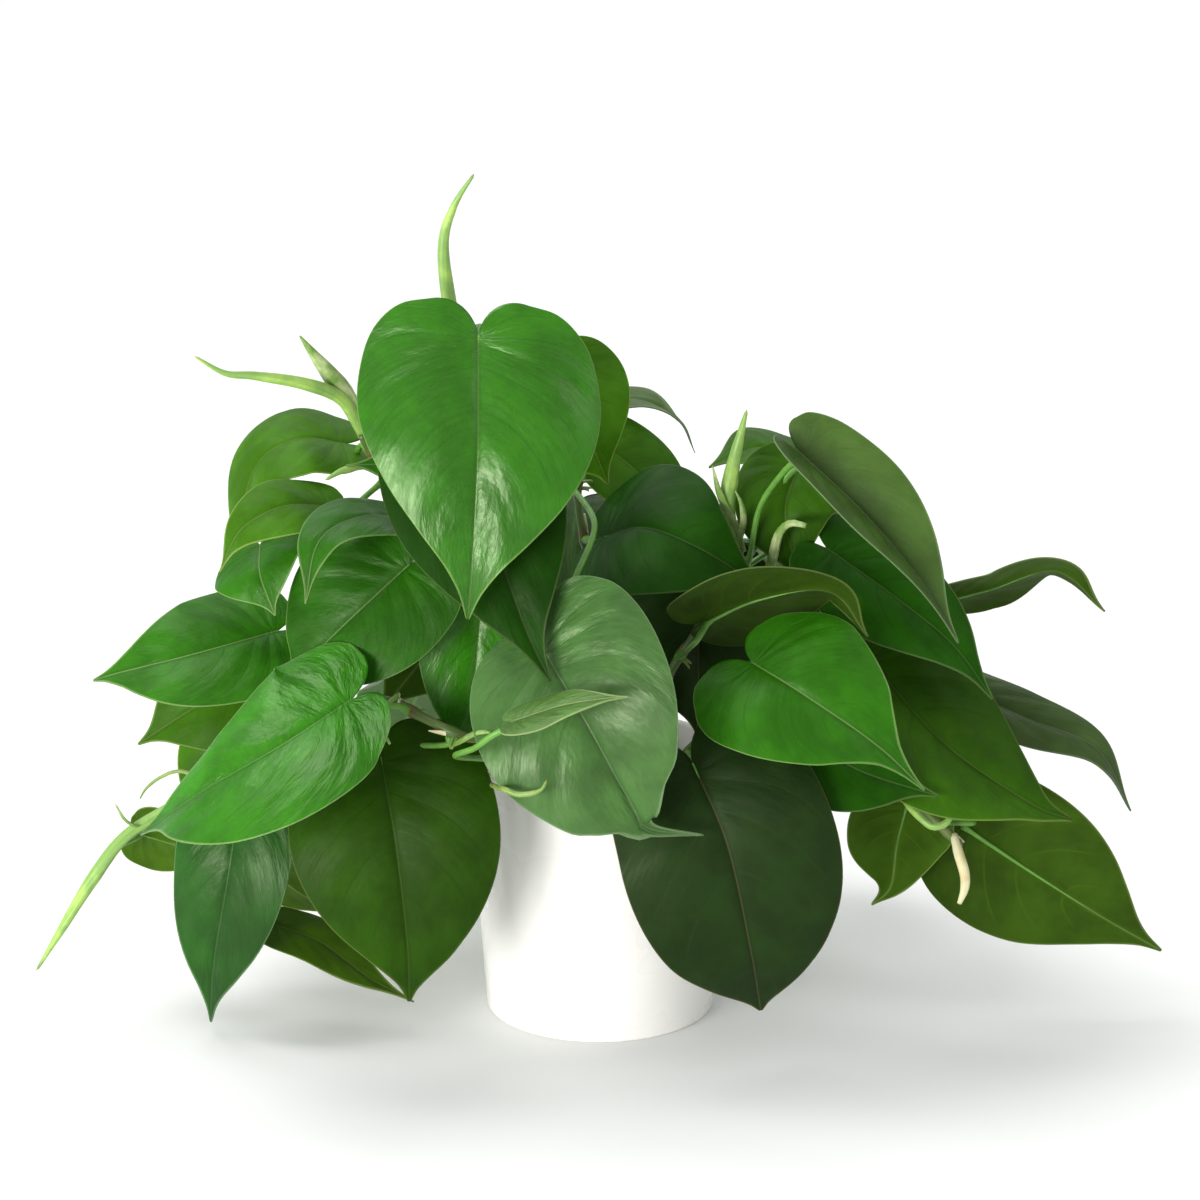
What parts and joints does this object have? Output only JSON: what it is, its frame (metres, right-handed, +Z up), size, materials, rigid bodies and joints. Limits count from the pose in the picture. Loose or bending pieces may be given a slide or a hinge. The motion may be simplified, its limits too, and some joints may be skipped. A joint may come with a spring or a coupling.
{
  "type": "potted heartleaf philodendron",
  "caption": "Trailing philodendron in a plain round white pot: heart-shaped leaves on thin stalks, drooping and climbing vines, and rolled young shoots. It stands on the pot's flat foot.",
  "frame": {"origin": "the middle of the pot's flat underside, on the surface that it stands on", "axes": "+Z up; -Y towards the viewer of the pictured side; +X to that viewer's right, along the plant's widest spread"},
  "size_m": [0.4387, 0.2639, 0.3352],
  "materials": {
    "leaf": "satin, waxy leaf with a paler margin and sunken veins",
    "stem": "smooth light green stem",
    "soil": "rough, crumbly and matte",
    "pot": "smooth white glaze"
  },
  "bodies": {
    "root": {"pot": "pot", "soil": "soil", "top_vine": "stem", "upper_left_vine": "stem", "lower_left_vine": "stem", "middle_vine": "stem", "upper_right_vine": "stem", "lower_right_vine": "stem", "back_left_vine": "stem", "back_right_vine": "stem", "leaf_crown": "leaf", "leaf_crown_right": "leaf", "leaf_crown_low": "leaf", "leaf_crown_far": "leaf", "leaf_under_crown": "leaf", "leaf_dark_middle": "leaf", "leaf_left_middle": "leaf", "leaf_left_curled": "leaf", "leaf_shiny": "leaf", "leaf_front_heart": "leaf", "leaf_hanging_left": "leaf", "leaf_far_left_low": "leaf", "leaf_left_back": "leaf", "leaf_left_point": "leaf", "leaf_left_wing": "leaf", "leaf_arch_high": "leaf", "leaf_arch_middle": "leaf", "leaf_arch_low": "leaf", "leaf_dark_left": "leaf", "leaf_bright": "leaf", "leaf_turned_over": "leaf", "leaf_front_dark": "leaf", "leaf_under_bright": "leaf", "leaf_big_right": "leaf", "leaf_tall_right": "leaf", "leaf_tall_right_back": "leaf", "leaf_shelf_right": "leaf", "leaf_dark_right": "leaf", "leaf_top_right_back": "leaf", "leaf_reach_high": "leaf", "leaf_reach_middle": "leaf", "leaf_reach_low": "leaf", "leaf_hooked": "leaf", "leaf_dark_low_left": "leaf", "leaf_sliver": "leaf", "leaf_inner_bright": "leaf", "leaf_inner_olive": "leaf", "leaf_grey": "leaf", "leaf_young": "leaf", "leaf_back_top": "leaf", "leaf_back_left_high": "leaf", "leaf_back_left_low": "leaf", "leaf_back_middle_low": "leaf", "leaf_back_right_high": "leaf", "leaf_back_right_low": "leaf", "leaf_back_right_side": "leaf", "leaf_back_left_side": "leaf", "leaf_inner_right": "leaf"}
  },
  "joints": []
}
